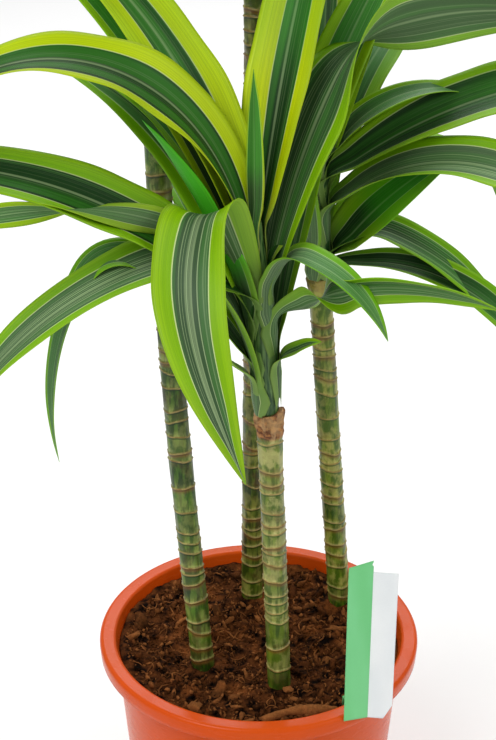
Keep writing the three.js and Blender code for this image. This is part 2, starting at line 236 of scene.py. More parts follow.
# Grain: fine noise over a coarser one, as a height and as a tone round 1.
def makeGrain():
    tree, given, result = newGroup("grain", "Place", "Scale Coarse Contrast", "Height Tone")
    place = given["Place"]
    fine = addNode("TexNoise", {"Vector": place, "Scale": given["Scale"], "Detail": 3.0})
    coarse = addNode("TexNoise", {"Vector": place, "Scale": given["Coarse"], "Detail": 4.0})
    both = timesPlus(fine.outputs[0], 0.4, times(coarse.outputs[0], 0.6))
    tree.links.new(both, result["Height"])
    tree.links.new(timesPlus(minus(both, 0.5), given["Contrast"], 1.0), result["Tone"])
    return tree


streaks = makeStreaks()
grain = makeGrain()


def streaked(place, stretch, low, high, seed=0.0, detail=2.0):
    inputs = {"Place": place, "Stretch": stretch, "Seed": seed, "Detail": detail, "Low": low, "High": high}
    return addNode("Group", inputs, node_tree=streaks).outputs


def grained(place, scale, coarse, contrast):
    inputs = {"Place": place, "Scale": scale, "Coarse": coarse, "Contrast": contrast}
    return addNode("Group", inputs, node_tree=grain).outputs


# A material with one Principled surface. Its constants go straight onto the shader.
def newMaterial(name, **constants):
    material = bpy.data.materials.new(name)
    material.use_nodes = True
    for key, value in constants.items():
        surfaceOf(material)[key.replace("_", " ")].default_value = value
    return material


def surfaceOf(material):
    return material.node_tree.nodes["Principled BSDF"].inputs


def objectPlace(material):
    return material.node_tree.nodes.new("ShaderNodeTexCoord").outputs["Object"]


# A number that the piece carries at its points.
def fact(material, name):
    node = material.node_tree.nodes.new("ShaderNodeAttribute")
    node.attribute_name = name
    return node.outputs["Fac"]


# Links a colour and, where they vary, a roughness and a bump: a height, its depth and its strength.
def dress(material, colour, rough=None, relief=None):
    links = {"Base Color": colour, "Roughness": rough, "Normal": None}
    if relief:
        inputs = dict(zip(("Height", "Distance", "Strength"), relief))
        links["Normal"] = addNode("Bump", inputs).outputs["Normal"]
    for key, value in links.items():
        if value is not None:
            material.node_tree.links.new(value, surfaceOf(material)[key])
    return material


print("stage: helpers and shader groups ready")


pot = {
    "height": 195, "rimRadius": 120, "rimInnerRadius": 107.5, "shoulderRadius": 108.5,
    "baseRadius": 93, "wall": 2, "floor": 2.5, "round": 3, "sides": 144,
    # the hanging skirt's section, from the rim's outer top corner
    "skirt": ((-3, -3.8), (-2.2, -5), (-2, -11.6), (-1.6, -12), (-0.9, -12), (-0.5, -11.5), (-0.3, -8),
              (0, -4.5)),
    "drains": 6, "drainRadius": 5, "drainCircle": 62, "drainSides": 28,
    "colour": (0.60, 0.068, 0.003), "faded": (0.54, 0.075, 0.006), "clouding": 0.5,
    "roughness": 0.24, "scuffing": 0.16, "peel": 0.12,
}


def wallRadius(z):
    return mix(pot["baseRadius"], pot["shoulderRadius"], z / pot["height"])


def wallLine(low, high, inset=0.0):
    z = np.linspace(low, high, 12)
    return np.stack([wallRadius(z) - inset, z], -1)


# A rounded corner of the outline: a quarter circle on from a number of quarter turns.
def corner(across, up, start):
    angle = (start + np.linspace(0, 1, 7)) * math.pi / 2
    return np.stack([across + pot["round"] * np.cos(angle), up + pot["round"] * np.sin(angle)], -1)


# The pot's outline, outside from the floor up, over the rolled lip and down inside.
def potOutline():
    height, rim, inner = pot["height"], pot["rimRadius"], pot["rimInnerRadius"]
    floor, wall, bend = pot["floor"], pot["wall"], pot["round"]
    top = [(mix(rim - bend - 0.5, inner + bend + 0.5, t), height) for t in np.linspace(0, 1, 4)]
    return np.concatenate([
        corner(pot["baseRadius"] - bend, bend, -1), wallLine(6, height - 4.6),
        [(wallRadius(height - 3.6) + 1, height - 3.6)], np.array(pot["skirt"]) + (rim, height),
        corner(rim - bend, height - bend, 0), top, corner(inner + bend, height - bend, 1),
        wallLine(height - 7, floor + 2, wall),
        [(wallRadius(floor) - wall - 0.6, floor + 0.6), (wallRadius(floor) - wall - 2, floor)],
    ])


# A tapering wall turned from the outline, with round drain holes cut through the floor.
def makePot(material):
    outline = potOutline()
    rings = circle(0, 0, outline[:, 1:], outline[:, :1], turns(pot["sides"]))
    body = addPiece("pot", strip(rings), [material], ["pot"])
    drains = []
    through = np.array([[-5.0], [10.0]])
    for k in range(pot["drains"]):
        turn = (k + 0.5) / pot["drains"] * fullTurn
        x, y = pot["drainCircle"] * math.cos(turn), pot["drainCircle"] * math.sin(turn)
        drains.append(strip(circle(x, y, through, pot["drainRadius"], turns(pot["drainSides"]))))
    cutter = addObject("drainCutter", newMesh("drainCutter", *gather(drains)))
    cut = body.modifiers.new("drains", "BOOLEAN")
    cut.operation, cut.solver, cut.object = "DIFFERENCE", "EXACT", cutter
    bpy.context.view_layer.update()
    finished = bpy.data.meshes.new_from_object(body.evaluated_get(bpy.context.evaluated_depsgraph_get()))
    body.modifiers.clear()
    body.data = finished
    bpy.data.objects.remove(cutter)
    rounded = [abs(face.normal.z) < 0.99 or face.center.z > 4 * mm for face in finished.polygons]
    finished.polygons.foreach_set("use_smooth", rounded)


# Moulded plastic: an even colour with faint clouding, a gloss that scuffs vary, a hint of orange peel.
def potMaterial():
    material = newMaterial("potPlastic", IOR=1.2, Coat_Weight=0.07, Coat_Roughness=0.12)
    place = objectPlace(material)
    peel = grained(place, 700.0, 26.0, 0.16)
    cloud = streaked(place, (14.0, 14.0, 22.0), 0.4, 0.75)["Mask"]
    scuff = streaked(place, (60.0, 60.0, 300.0), 0.5, 0.8, seed=4.0)["Mask"]
    colour = blend(times(cloud, pot["clouding"]), pot["colour"], pot["faded"])
    rough = timesPlus(scuff, pot["scuffing"], pot["roughness"])
    return dress(material, toned(colour, peel["Tone"]), rough, (peel["Height"], pot["peel"] * mm, 0.5))


makePot(potMaterial())
print("stage: pot turned and drained")


soil = {
    "top": 183, "lump": 2.2, "baseRadius": 93, "reach": 103, "sectors": 260, "rings": 92, "relief": 3.4,
    "fibres": 420,
}

# Sizes of a cane and its scars. Lip, dip, patch and shade give how far each mark stands above its
# scar, and how wide it is; shade is the painted shadow under each lip.
cane = {
    "radius": 8.7, "inset": 0.35, "depth": 60, "columns": 44, "rowHeight": 0.7, "ringStep": 19,
    "ringStray": 0.2, "ringTilt": (0.5, 1.3), "skipShare": 0.35, "lipProud": 0.7, "dipDepth": 0.25,
    "lumps": 0.16, "lip": (0, 0.42), "dip": (1.5, 1.1), "patch": (-1.8, 1.6), "shade": (-1.3, 0.7),
    "patchShare": 0.38, "bloom": 3.5, "endRings": (0.8, 0.5, 0.2),
}

# Knob is how much the top swells and cork how far down, crest the height of the chip left standing
# on it, and neck the narrowing of the shoot where it leaves the cane.
plainTop = {"knob": 0.8, "cork": 12, "crest": 0, "neck": 0.9}
canes = {
    "a": {"foot": (-41, -30), "top": (-70, -2, 745), "shootTip": (-73, 0, 850), "bow": (-7, 4), "seed": 1,
          **plainTop},
    "b": {"foot": (-5, 60), "top": (-4, 60, 900), "shootTip": (-2, 60, 1010), "bow": (2, 0), "seed": 2,
          **plainTop},
    "c": {"foot": (15, -54), "top": (6, -54, 409), "shootTip": (-3, -52, 530), "bow": (0, 0), "seed": 3,
          "knob": 1.5, "cork": 22, "crest": 4, "neck": 0.72},
    "d": {"foot": (64, 54), "top": (43, 54, 462), "shootTip": (36, 52, 560), "bow": (0, 0), "seed": 4,
          **plainTop},
}

# Each cane's own look: the dark green, which is also painted as the shadow under each lip, the
# bright one, the dry mottling's colour, the share of mottling at the soil and what is added to it up
# to the top, the share of brown stain, and that of cork round the cane's top.
caneLooks = {
    "a": ((0.004, 0.020, 0.001), (0.060, 0.16, 0.005), (0.44, 0.46, 0.13), 0.24, 0.2, 0.3, 0.4),
    "b": ((0.008, 0.022, 0.001), (0.085, 0.14, 0.006), (0.38, 0.35, 0.08), 0.5, -0.3, 0.5, 0.4),
    "c": ((0.020, 0.060, 0.003), (0.13, 0.20, 0.012), (0.46, 0.43, 0.15), 0.25, 0.55, 0.35, 1.0),
    "d": ((0.016, 0.058, 0.002), (0.13, 0.22, 0.008), (0.52, 0.46, 0.12), 0.5, 0.0, 0.35, 0.4),
}
barkColours = {
    "stain": (0.085, 0.040, 0.012), "rust": (0.20, 0.065, 0.014),
    "lip": (0.52, 0.36, 0.14), "darkLip": (0.28, 0.12, 0.035),
    "crack": (0.11, 0.032, 0.008), "cork": (0.40, 0.17, 0.045), "paintedCorkHighlight": (0.56, 0.36, 0.16),
}


# The old leaf scars: the solids' own rings, and one more between most of them.
def scarRings(spec):
    rings, z, k = [], soil["top"] + cane["ringStep"], 0
    last = z - cane["ringStep"]
    while z < spec["top"][2] - cane["ringStep"] / 2:
        stray, turn, lean = (draw(spec["seed"], 3 * k + slot) for slot in range(3))
        other, otherTurn, otherLean = (draw(spec["seed"] + 40, 3 * k + slot) for slot in range(3))
        if other > cane["skipShare"]:
            between = mix(last, z, 0.3 + 0.4 * otherLean)
            rings.append((between, fullTurn * otherTurn, 0.4 + 2.0 * otherLean, other))
        rings.append((z, fullTurn * turn, mix(*cane["ringTilt"], lean), stray))
        last = z
        z += cane["ringStep"] * (1 + cane["ringStray"] * (2 * stray - 1))
        k += 1
    return np.array(rings)


# A cane's surface on a grid of height and angle: the bowed centre line, plus the radius, plus a
# thin lip at each scar, a dip over it, slow lumps, and a swollen end. Facts mark the lips and scars.
def caneSurface(spec):
    top, floor, seed = spec["top"][2], soil["top"] - cane["depth"], spec["seed"]
    z = np.linspace(floor, top, int((top - floor) / cane["rowHeight"]))[:, None]
    angle = turns(cane["columns"])[None, :]
    height, turn, tilt, pick = scarRings(spec).T[:, None, None]
    wave = 0.45 * np.cos(2 * angle + 9 * seed)[..., None] * (0.3 + pick)
    wave = wave + 0.3 * np.cos(3 * angle[..., None] + 50 * pick)
    distance = z[..., None] - (height + tilt * np.cos(angle[..., None] - turn) + wave)

    def nearScar(mark, share=1.0):
        away, width = cane[mark]
        return (bell(distance - away, width) * share).max(-1)

    tones = np.array([draw(seed + 60, k) for k in range(height.size + 1)])
    above = np.exp(-np.where(distance > 0, distance, 99).min(-1) / cane["bloom"])
    t = (z - soil["top"]) / (top - soil["top"])
    bend = np.sin(math.pi * np.clip(t, 0, 1))
    x, y = (mix(spec["foot"][n], spec["top"][n], t) + spec["bow"][n] * bend for n in range(2))
    around = circle(0, 0, z, 40, angle)
    swell = smooth(z, top - spec["cork"], top - 0.4 * spec["cork"]) * (1 - smooth(z, top - 2.5, top) * 0.35)
    buried = smooth(z, soil["top"] - 12, soil["top"] - 4)
    ringed = cane["lipProud"] * nearScar("lip") - cane["dipDepth"] * nearScar("dip")
    radius = cane["radius"] - cane["inset"] + buried * ringed + cane["lumps"] * waveField(around, 34, seed)
    gnarl = 0.7 + 0.5 * waveField(around, 20, 70 + seed) + 0.3 * waveField(around, 8, 80 + seed)
    radius = radius + spec["knob"] * swell * gnarl
    crest = spec["crest"] * smooth(z, top - 7, top) * np.clip(np.cos(angle + 0.3), 0, 1) ** 2
    rings = circle(x, y, z + crest, radius, angle)
    # the cut end closes in towards its middle
    ends = [mix(np.array(spec["top"]), rings[-1], f) - [0, 0, 0.5 * (1 - f)] for f in cane["endRings"]]
    marks = {
        "scarLip": nearScar("lip") * buried, "paintedShadowBelowScar": nearScar("shade") * buried,
        "scarPatch": nearScar("patch", pick > 1 - cane["patchShare"]) * buried,
        "aboveScar": above * buried, "jointTone": tones[(distance > 0).sum(-1)],
        "cutEnd": swell + 0 * angle, "heightShare": np.clip(t, 0, 1) + 0 * angle,
    }
    closed = {key: np.pad(value, ((0, len(ends)), (0, 0)), "edge") for key, value in marks.items()}
    closed["cutEnd"][-len(ends):] = 1
    return np.concatenate([rings, ends]), {key: value.ravel() for key, value in closed.items()}


# Cane skin: green streaked along the stem, each joint its own tone, a pale bloom above each scar,
# tan lips with a painted shadow under each, rusty patches under some, and brown cork at the cut end
# with pale tan patches painted on it as highlights.
def caneMaterial(key):
    deep, fresh, pale, dry, rising, stained, corked = caneLooks[key]
    seed = float(canes[key]["seed"])
    material = newMaterial("caneSkin" + key.upper(), IOR=1.33, Coat_Weight=0.14, Coat_Roughness=0.25)
    place = objectPlace(material)
    long = streaked(place, (260.0, 260.0, 45.0), 0.44, 0.6, seed, 4.0)["Mask"]
    broad = streaked(place, (105.0, 105.0, 70.0), 0.46, 0.6, 9 + seed, 5.0)["Mask"]
    stain = streaked(place, (70.0, 70.0, 60.0), 0.52, 0.66, 21 + seed, 3.0)["Mask"]
    crack = streaked(place, (200.0, 200.0, 420.0), 0.38, 0.62, 3.0, 5.0)
    flecks = grained(place, 1400.0, 240.0, 0.9)
    joint, lip, cutEnd = (fact(material, name) for name in ("jointTone", "scarLip", "cutEnd"))
    green = blend(timesPlus(long, 0.55, times(joint, 0.45)), deep, fresh)
    mottled = times(broad, timesPlus(joint, 0.6, 0.4))
    bloom = times(fact(material, "aboveScar"), timesPlus(long, 0.5, 0.15))
    dryness = timesPlus(fact(material, "heightShare"), rising, dry)
    skin = toned(blend(timesPlus(mottled, dryness, bloom), green, pale), flecks["Tone"])
    skin = blend(times(stain, stained), skin, barkColours["stain"])
    # painted shadow: the dark green laid in a band just under each lip
    skin = blend(ramp(fact(material, "paintedShadowBelowScar"), 0.2, 0.9, 0.0, 0.75), skin, deep)
    skin = blend(times(fact(material, "scarPatch"), 0.5), skin, barkColours["rust"])
    skin = blend(times(lip, 0.85), skin, blend(broad, barkColours["lip"], barkColours["darkLip"]))
    cork = blend(crack["Mask"], barkColours["crack"], barkColours["cork"])
    # pale tan patches over the cork, painted as its highlights
    cork = blend(times(broad, 0.5), cork, barkColours["paintedCorkHighlight"])
    skin = blend(ramp(cutEnd, 0.1, 0.5, 0.0, corked), skin, cork)
    rough = timesPlus(maths("MAXIMUM", lip, cutEnd), 0.4, 0.36)
    relief = timesPlus(crack["Value"], times(cutEnd, 3.0), flecks["Height"])
    return dress(material, skin, rough, (relief, 0.6 * mm, 0.6))


for key, spec in canes.items():
    rings, facts = caneSurface(spec)
    addPiece("cane_" + key + "_skin", strip(rings), [caneMaterial(key)], ["cane_" + key], facts=facts)
print("stage: four ringed canes grown")


blade = {
    "steps": 84, "half": 8, "edge": 0.45, "middle": 1.0, "rootDepth": 3.2, "root": 0.3,
    "belly": 0.45, "gutter": 0.35, "gutterEnd": 0.55, "hollow": 0.22,
    "tipStart": 3, "tipBlunt": 0.9, "tipWidth": 0.5, "ripple": 0.045, "rippleLength": 74,
    "rib": 0.5, "ribWidth": 0.1, "ribEnd": 0.7, "looks": ((0.05, 0.45), (0.45, 0.7), (0, 0.3), (0, 0.3)),
}

# What a leaf does where its own numbers below don't say.
plainLeaf = {"late": 1.4, "knee": (0, 0.5, 0.1), "sway": 0, "roll": 0, "twist": (0, 0, 1)}

# The part of a leaf that clasps the shoot. Full is the width of a leaf that clasps it by the whole
# angle, and the last three are lengths over which the blade comes free.
sheath = {
    "drop": 17, "rows": 7, "angle": 84, "full": 30, "tuck": 0.7, "flare": 1.5, "thick": 0.55,
    "sag": 0.5, "narrowing": 26, "easing": 20, "leaving": 30,
}

shoot = {"radii": ((0, 10), (0.6, 8.5), (1.12, 5)), "end": 1.12, "columns": 40, "rows": 70, "inset": 0.3}


# Up is the height on the shoot, heading and rise where the leaf sets off, droop the slope lost
# towards the tip, late how late. Sway turns it sideways and roll about itself. Knee is a sharp fold,
# with its place and half its span, and twist a turn about itself, with its start and end. Look is the
# share of pale lines, where the margin starts, how much grey painted sheen covers the middle and how
# bright a green the painted light through it gives it; what is left out is drawn.
def leaf(up, heading, length, width, rise, droop, look=(), **further):
    own = dict(up=up, heading=heading, length=length, width=width, rise=rise, droop=droop, look=look)
    return {**own, **further}


leavesC = {
    "frontFall": leaf(0.7, 200.7, 257, 52.1, 65.5, 35, (0.75, 0.5, 0.4, 0), late=1, sway=138,
        knee=(97, 0.316, 0.05), roll=14.6),
    "leftArch": leaf(0.91, 198, 335, 50, 78, 158, (0.1, 0.6, 0, 0), late=1.5, roll=-40,
        twist=(30, 0.35, 0.75)),
    "leftReach": leaf(0.65, 195, 290, 46, 46, 54, (0.1, 0.58, 0, 0), roll=-40),
    "leftTwist": leaf(0.8, 200, 280, 20, 62, 84, (0.5, 0.62, 0.55), late=0.6, roll=60,
        twist=(300, 0.1, 0.9)),
    "leftSickle": leaf(0.1, 195, 330, 44, 84, 90, (0.75, 0.6, 0.6), late=1,
        knee=(60, 0.35, 0.09), roll=-20),
    "leftThread": leaf(0.215, 186, 296, 28, 66, 84, (0.3, 0.68, 0.45), late=1,
        knee=(82, 0.46, 0.09), roll=-24),
    "limeUp": leaf(0.9, 168, 300, 50, 77, 58, (0.15, 0.42, 0, 0.1), roll=-36),
    "backLeft": leaf(0.83, 164, 320, 36, 70, 46, (0.1, 0.6, None, 0.4), roll=-36),
    "thinLeft": leaf(0.7, 160, 240, 26, 74, 80, (0.1, 0.6), late=1.5, roll=-20),
    "paleLeft": leaf(0.3, 190, 186, 28, 80, 30, (0.1, 0.7, 0.1, 1), roll=30),
    "centreUp": leaf(1, 60, 300, 48, 76, 30, (0.12, 0.42, 0, 0.25)),
    "rightBlade": leaf(0.68, 27, 350, 52, 80, 55, (0.35, 0.66, 0.25, 0), late=1.2,
        knee=(45, 0.5, 0.09), roll=24, twist=(-139, 0.34, 0.72)),
    "greyUp": leaf(0.8, 42, 300, 38, 68, 30, (0.2, 0.6), roll=30),
    "spike": leaf(1, 255, 114, 13, 89, 2, (0.1, 0.8, 0, 0.3)),
    "rightHook": leaf(0.62, 335, 130, 34, 86, 92, (0.7, 0.75, 0.9), late=1, knee=(60, 0.34, 0.09)),
    "rightWaist": leaf(0.5, 345, 160, 30, 62, 80, (0.55, 0.55, 0.4), late=0.6, roll=-60,
        twist=(180, 0.2, 0.42)),
    "lowLeft": leaf(0.15, 203, 50, 13, 50, 0, (0.3, 0.2, 0.1, 0)),
    "lowRight": leaf(0.25, 330, 48, 16, 62, 48, (0.2, 0.35, 0.2, 0), roll=30),
    "backTall": leaf(0.53, 160, 230, 44, 78, 70, (0.5, 0.6, 0.6, 0.15), roll=-36),
    "backFall": leaf(0.2, 125, 190, 46, 66, 60),
    "backRight": leaf(0.3, 62, 260, 36, 76, 40),
}

leavesD = {
    "lowFall": leaf(0.12, 350, 200, 34, 52, 66, (0.45, 0.66, 0.2), late=1,
        knee=(54, 0.2, 0.09), roll=20),
    "lowArch": leaf(0.06, 345, 270, 32, 28, 120, (0.2, 0.66, 0.1), late=0.8, roll=20),
    "wide": leaf(0.45, 340, 320, 46, 56, 154, (0.7, 0.62, 0.8, 0), late=1, roll=22),
    "wideShort": leaf(0.1, 350, 128, 44, 57, 30, (0.1, 0.45, None, 0.5), roll=42),
    "highRight": leaf(0.7, 0, 320, 50, 41, 56, (0.1, 0.66, 0.1, 0.15), late=1, roll=30),
    "curlTip": leaf(0.75, 8, 145, 24, 72, 100, (0.35, 0.75, 0.55), late=1.1, roll=20),
    "narrow": leaf(0.06, 240, 105, 14, 82, 10, (0.3, 0.7, 0.7)),
    "thinUp": leaf(0.7, 20, 250, 26, 74, -4, roll=30),
    "back1": leaf(0.9, 85, 300, 44, 76, 50),
    "back2": leaf(0.55, 60, 250, 46, 60, 90),
    "back3": leaf(0.3, 100, 300, 46, 56, 120),
    "back4": leaf(0.5, 92, 330, 46, 62, 115),
    "back5": leaf(0.1, 50, 280, 42, 40, 110),
    "back6": leaf(0.2, 88, 300, 44, 48, 120),
    "back7": leaf(0.75, 75, 320, 44, 74, 70),
}

# The two tall heads follow one rule: from the lowest leaf to the innermost, each is a golden
# angle further round, shorter, narrower, steeper and straighter.
crowns = {
    "a": {"count": 21, "start": 10, "seed": 11, "turned": {3: 12, 8: -9, 16: -47, 19: 12},
          "lifted": {13: 5, 19: 5}},
    "b": {"count": 23, "start": 40, "seed": 12, "turned": {4: -62}, "lifted": {4: 4}},
}
crownLeaf = {
    # up, length, width, rise and droop, of the lowest leaf and of the innermost
    "spans": ((0.06, 1), (330, 230), (46, 30), (50, 84), (125, 25)),
    "goldenAngle": 137.5,
    # the most that the length's share, the rise, the droop and the roll stray
    "strays": (0.07, 4, 12, 15),
}


def crownLeaves(crown):
    leaves = []
    for k in range(crown["count"]):
        f = k / (crown["count"] - 1)
        up, length, width, rise, droop = (mix(*span, f) for span in crownLeaf["spans"])
        drawn = (2 * draw(crown["seed"], 10 * k + slot) - 1 for slot in range(4))
        longer, steeper, limper, roll = (most * one for most, one in zip(crownLeaf["strays"], drawn))
        heading = crown["start"] + crownLeaf["goldenAngle"] * k + crown["turned"].get(k, 0)
        rise += steeper + crown["lifted"].get(k, 0)
        leaves.append(leaf(up, heading, length * (1 + longer), width, rise, droop + limper, roll=roll))
    return leaves


def shootRadius(t):
    return np.interp(t, *zip(*shoot["radii"]))


# The blade's half width: narrow at the root, full from the belly on, drawn in to the tip.
def halfWidth(own, s):
    swell = mix(blade["root"], 1, np.sin(math.pi / 2 * np.minimum(1, s / blade["belly"])))
    point = (1 - s ** blade["tipStart"]) ** blade["tipBlunt"]
    return np.maximum(own["width"] / 2 * swell * point, blade["tipWidth"] / 2)


# Heading and slope at shares q of the leaf's length, with the droop and the fold taken off.
def leafCourse(own, q):
    fold, place, span = own["knee"]
    slope = own["rise"] - own["droop"] * q ** own["late"] - fold * smooth(q, place - span, place + span)
    return (own["heading"] + own["sway"] * q) * degree, slope * degree


# The blade's upper and lower face, from s along it and v across it. The midrib is summed from short
# steps along slope and heading; each section is a gutter that flattens out, turned by roll and
# twist, with a slow ripple on its edges.
def bladeFaces(own, seed, start, s, v):
    steps = direction(*leafCourse(own, (s[1:] + s[:-1]) / 2)) * own["length"] / blade["steps"]
    outward = shootRadius(own["up"]) - blade["rootDepth"]
    root = start + direction(own["heading"] * degree, 0.0) * outward
    midrib = root + np.concatenate([np.zeros((1, 1, 3)), np.cumsum(steps, 0)])
    heading, slope = leafCourse(own, s)
    side, face = direction(heading + math.pi / 2, 0 * s), direction(heading, slope + math.pi / 2)
    twist, begin, end = own["twist"]
    turn = (own["roll"] + twist * smooth(s, begin, end))[..., None] * degree
    across = side * np.cos(turn) + face * np.sin(turn)
    out = -side * np.sin(turn) + face * np.cos(turn)
    half = halfWidth(own, s)
    lift = half * (blade["gutter"] * (1 - smooth(s, 0, blade["gutterEnd"])) + blade["hollow"])
    bowl = 0.4 * np.abs(v) + 0.6 * v ** 2 - 0.05 * np.sin(math.pi * np.abs(v)) ** 2
    phase = fullTurn * (s * own["length"] / blade["rippleLength"] + draw(seed, 5))
    phase = phase + np.where(v > 0, 0, 2.1) + 0.8 * np.sin(phase / 2.3)
    calm = smooth(s, 0.12, 0.4) * (1 - smooth(s, 0.82, 1))
    height = lift * bowl + blade["ripple"] * np.abs(v) ** 2.5 * np.sin(phase) * half * calm
    upper = midrib + across * (half * v)[..., None] + out * height[..., None]
    thick = mix(mix(blade["middle"], blade["edge"], s), blade["edge"], np.abs(v) ** 0.6)
    thick = thick + blade["rib"] * bell(v, blade["ribWidth"]) * (1 - smooth(s, 0, blade["ribEnd"]))
    thick = thick * np.minimum(1, half / 2 + 0.25)
    return upper, (upper - out * thick[..., None])[:, ::-1]


# A leaf as a closed strip of rings: the upper face from one edge to the other, then the lower face
# back. Below its root it runs down as a sheath that clasps the shoot, tucked in at its foot and
# standing off at its top: the angle round the shoot comes from v, the height from the leaf's run.
def leafSurface(spec, given, seed):
    own = {**plainLeaf, **given}
    drawn = [mix(*span, draw(seed, 8 + n)) for n, span in enumerate(blade["looks"])]
    look = [usual if said is None else said for said, usual in zip((*own["look"], *[None] * 4), drawn)]
    s, v = np.linspace(0, 1, blade["steps"] + 1)[:, None], np.linspace(1, -1, 2 * blade["half"] + 1)
    top, tip = np.array(spec["top"], float), np.array(spec["shootTip"], float)
    upper, lower = bladeFaces(own, seed, mix(top, tip, own["up"]), s, v)

    tall = (tip - top)[2]
    drop = min(sheath["drop"], own["up"] * tall + 2)
    below = np.linspace(-drop, 0, sheath["rows"] + 1)[:-1, None]
    run = np.concatenate([below, s * own["length"]])
    far = np.clip(run / own["length"], 0, 1)
    q = 1 + np.minimum(run, 0) / drop
    rising = np.minimum(run, 0) + np.maximum(run, 0) * math.sin(own["rise"] * degree)
    up = np.clip(own["up"] + rising / tall, 0, shoot["end"])
    axis = mix(top, tip, up)
    reach = shootRadius(up) - sheath["tuck"] + sheath["flare"] * q
    wide = min(1.0, own["width"] / sheath["full"]) * sheath["angle"] * degree
    ahead = np.minimum(wide, halfWidth(own, far) / reach)
    spread = mix(wide * (0.45 + 0.55 * q), ahead, smooth(run, 0, sheath["narrowing"]))
    angle = own["heading"] * degree + spread * v
    reach = reach + 0.4 * smooth(run, 0, sheath["easing"])
    sag = sheath["sag"] * drop * v ** 2 * (1 - q)
    level = axis[:, 2:] - sag * smooth(axis[:, 2:] - sag, top[2] - 4, top[2] + 4)
    thick = sheath["thick"] * (0.35 + 0.65 * q)
    inner, outer = (circle(axis[:, :1], axis[:, 1:2], level, r, angle) for r in (reach, reach + thick))
    free = smooth(run, 0, sheath["leaving"])[..., None]
    upper, lower = (np.pad(face, ((sheath["rows"], 0), (0, 0), (0, 0)), "edge") for face in (upper, lower))
    rings = np.concatenate([mix(inner, upper, free), mix(outer[:, ::-1], lower, free)], 1)

    uv = places((np.concatenate([v, v[::-1]]) + 1) / 2, run / 300, 0)[..., :2]
    facts = {
        "leafSeed": draw(seed, 7), "underside": np.repeat([0.0, 1.0], len(v)), "leafAge": own["up"],
        "alongLeaf": far, "sheath": 1 - smooth(run, 0, 40),
        **dict(zip(("leafLines", "leafEdge", "leafSheenGrey", "leafBacklight"), look)),
    }
    facts = {key: np.broadcast_to(value, rings.shape[:2]).ravel() for key, value in facts.items()}
    return strip(rings), uv.reshape(-1, 2), facts


# The shoot inside the leaves: circles along its slanting axis, a little narrower at the neck.
def shootSurface(spec):
    top, tip = np.array(spec["top"], float), np.array(spec["shootTip"], float)
    t = np.linspace(0, shoot["end"], shoot["rows"])[:, None]
    axis = mix(top + [0, 0, 0.3], tip, t)
    radius = shootRadius(t) * mix(spec["neck"], 1, smooth(t, 0.02, 0.2)) - shoot["inset"]
    return circle(axis[:, :1], axis[:, 1:2], axis[:, 2:], radius, turns(shoot["columns"]))


leafColours = {
    "limeOld": (0.19, 0.42, 0.0), "limeYoungBacklit": (0.54, 0.64, 0.0), "cream": (0.58, 0.68, 0.30),
    "deep": (0.004, 0.034, 0.003), "green": (0.020, 0.115, 0.008), "line": (0.33, 0.45, 0.22),
    "sheenGreyGreen": (0.12, 0.205, 0.095), "under": (0.10, 0.18, 0.065), "base": (0.13, 0.18, 0.085),
    # fresh is the bright green painted where light shines through a leaf
    "fresh": (0.06, 0.48, 0.012), "rim": (0.44, 0.64, 0.03),
    "stem": (0.016, 0.065, 0.014), "paleStem": (0.12, 0.22, 0.06),
}


